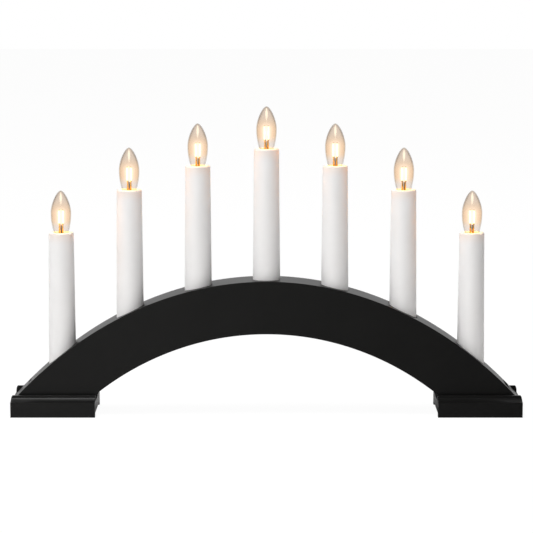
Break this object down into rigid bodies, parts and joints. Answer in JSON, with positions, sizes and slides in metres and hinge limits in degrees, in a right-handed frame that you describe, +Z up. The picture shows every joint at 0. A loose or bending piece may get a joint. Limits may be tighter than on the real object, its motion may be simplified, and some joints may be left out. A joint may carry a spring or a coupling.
{
  "type": "advent candle holder",
  "caption": "Electric advent candle arch: a black painted wooden arch on two moulded feet carries white candle sleeves with clear screw-in candle bulbs lit warm white.",
  "frame": {"origin": "middle of the holder's footprint, on the surface that it stands on", "axes": "+X to the right along the arch, +Y to the back, +Z up"},
  "size_m": [0.4194, 0.0588, 0.2537],
  "materials": {
    "black_paint": "satin black paint on wood",
    "white_plastic": "satin white moulded plastic",
    "clear_glass": "clear blown glass",
    "brass": "plain drawn brass",
    "solder": "dull tin solder",
    "light_rods": "phosphor-coated light rods on brass leads and a glass stem, glowing warm white",
    "socket_plastic": "matt ivory heat-proof plastic",
    "black_rubber": "matt black rubber",
    "zinc_steel": "zinc-plated steel",
    "wire_sheath": "soft sheath",
    "black_board": "painted hardboard"
  },
  "bodies": {
    "holder": {"arch": "black_paint", "foot_left": "black_paint", "foot_right": "black_paint", "wiring_cover": "black_board", "cord_bush": "black_rubber", "supply_wire": "wire_sheath", "return_wire": "wire_sheath", "link_wire_1": "wire_sheath", "link_wire_2": "wire_sheath", "link_wire_3": "wire_sheath", "link_wire_4": "wire_sheath", "link_wire_5": "wire_sheath", "link_wire_6": "wire_sheath", "foot_screw_left_1": "zinc_steel", "foot_screw_left_2": "zinc_steel", "foot_screw_right_1": "zinc_steel", "foot_screw_right_2": "zinc_steel", "candle_sleeve_1": "white_plastic", "lampholder_1": "socket_plastic", "candle_sleeve_2": "white_plastic", "lampholder_2": "socket_plastic", "candle_sleeve_3": "white_plastic", "lampholder_3": "socket_plastic", "candle_sleeve_4": "white_plastic", "lampholder_4": "socket_plastic", "candle_sleeve_5": "white_plastic", "lampholder_5": "socket_plastic", "candle_sleeve_6": "white_plastic", "lampholder_6": "socket_plastic", "candle_sleeve_7": "white_plastic", "lampholder_7": "socket_plastic"},
    "bulb_1_base": {"bulb_contact_1": "solder"},
    "bulb_1": {"bulb_cap_1": "brass", "bulb_glass_1": "clear_glass", "bulb_filament_1": "light_rods"},
    "bulb_2_base": {"bulb_contact_2": "solder"},
    "bulb_2": {"bulb_cap_2": "brass", "bulb_glass_2": "clear_glass", "bulb_filament_2": "light_rods"},
    "bulb_3_base": {"bulb_contact_3": "solder"},
    "bulb_3": {"bulb_cap_3": "brass", "bulb_glass_3": "clear_glass", "bulb_filament_3": "light_rods"},
    "bulb_4_base": {"bulb_contact_4": "solder"},
    "bulb_4": {"bulb_cap_4": "brass", "bulb_glass_4": "clear_glass", "bulb_filament_4": "light_rods"},
    "bulb_5_base": {"bulb_contact_5": "solder"},
    "bulb_5": {"bulb_cap_5": "brass", "bulb_glass_5": "clear_glass", "bulb_filament_5": "light_rods"},
    "bulb_6_base": {"bulb_contact_6": "solder"},
    "bulb_6": {"bulb_cap_6": "brass", "bulb_glass_6": "clear_glass", "bulb_filament_6": "light_rods"},
    "bulb_7_base": {"bulb_contact_7": "solder"},
    "bulb_7": {"bulb_cap_7": "brass", "bulb_glass_7": "clear_glass", "bulb_filament_7": "light_rods"}
  },
  "joints": [
    {"name": "bulb_1_rise", "type": "slide", "parent": "holder", "child": "bulb_1_base", "axis": [0, 0, 1], "range_m": [0, 0.005]},
    {"name": "bulb_1_turn", "type": "hinge", "parent": "bulb_1_base", "child": "bulb_1", "pos_m": [-0.1688, 0, 0.2], "axis": [0, 0, 1], "range_deg": [0, 990]},
    {"name": "bulb_2_rise", "type": "slide", "parent": "holder", "child": "bulb_2_base", "axis": [0, 0, 1], "range_m": [0, 0.005]},
    {"name": "bulb_2_turn", "type": "hinge", "parent": "bulb_2_base", "child": "bulb_2", "pos_m": [-0.11253, 0, 0.2], "axis": [0, 0, 1], "range_deg": [0, 990]},
    {"name": "bulb_3_rise", "type": "slide", "parent": "holder", "child": "bulb_3_base", "axis": [0, 0, 1], "range_m": [0, 0.005]},
    {"name": "bulb_3_turn", "type": "hinge", "parent": "bulb_3_base", "child": "bulb_3", "pos_m": [-0.05627, 0, 0.2], "axis": [0, 0, 1], "range_deg": [0, 990]},
    {"name": "bulb_4_rise", "type": "slide", "parent": "holder", "child": "bulb_4_base", "axis": [0, 0, 1], "range_m": [0, 0.005]},
    {"name": "bulb_4_turn", "type": "hinge", "parent": "bulb_4_base", "child": "bulb_4", "pos_m": [0, 0, 0.2], "axis": [0, 0, 1], "range_deg": [0, 990]},
    {"name": "bulb_5_rise", "type": "slide", "parent": "holder", "child": "bulb_5_base", "axis": [0, 0, 1], "range_m": [0, 0.005]},
    {"name": "bulb_5_turn", "type": "hinge", "parent": "bulb_5_base", "child": "bulb_5", "pos_m": [0.05627, 0, 0.2], "axis": [0, 0, 1], "range_deg": [0, 990]},
    {"name": "bulb_6_rise", "type": "slide", "parent": "holder", "child": "bulb_6_base", "axis": [0, 0, 1], "range_m": [0, 0.005]},
    {"name": "bulb_6_turn", "type": "hinge", "parent": "bulb_6_base", "child": "bulb_6", "pos_m": [0.11253, 0, 0.2], "axis": [0, 0, 1], "range_deg": [0, 990]},
    {"name": "bulb_7_rise", "type": "slide", "parent": "holder", "child": "bulb_7_base", "axis": [0, 0, 1], "range_m": [0, 0.005]},
    {"name": "bulb_7_turn", "type": "hinge", "parent": "bulb_7_base", "child": "bulb_7", "pos_m": [0.1688, 0, 0.2], "axis": [0, 0, 1], "range_deg": [0, 990]}
  ],
  "couplings": [
    {"joint": "bulb_1_rise", "follows": "bulb_1_turn", "m_per_rad": 0.00028875},
    {"joint": "bulb_2_rise", "follows": "bulb_2_turn", "m_per_rad": 0.00028875},
    {"joint": "bulb_3_rise", "follows": "bulb_3_turn", "m_per_rad": 0.00028875},
    {"joint": "bulb_4_rise", "follows": "bulb_4_turn", "m_per_rad": 0.00028875},
    {"joint": "bulb_5_rise", "follows": "bulb_5_turn", "m_per_rad": 0.00028875},
    {"joint": "bulb_6_rise", "follows": "bulb_6_turn", "m_per_rad": 0.00028875},
    {"joint": "bulb_7_rise", "follows": "bulb_7_turn", "m_per_rad": 0.00028875}
  ]
}
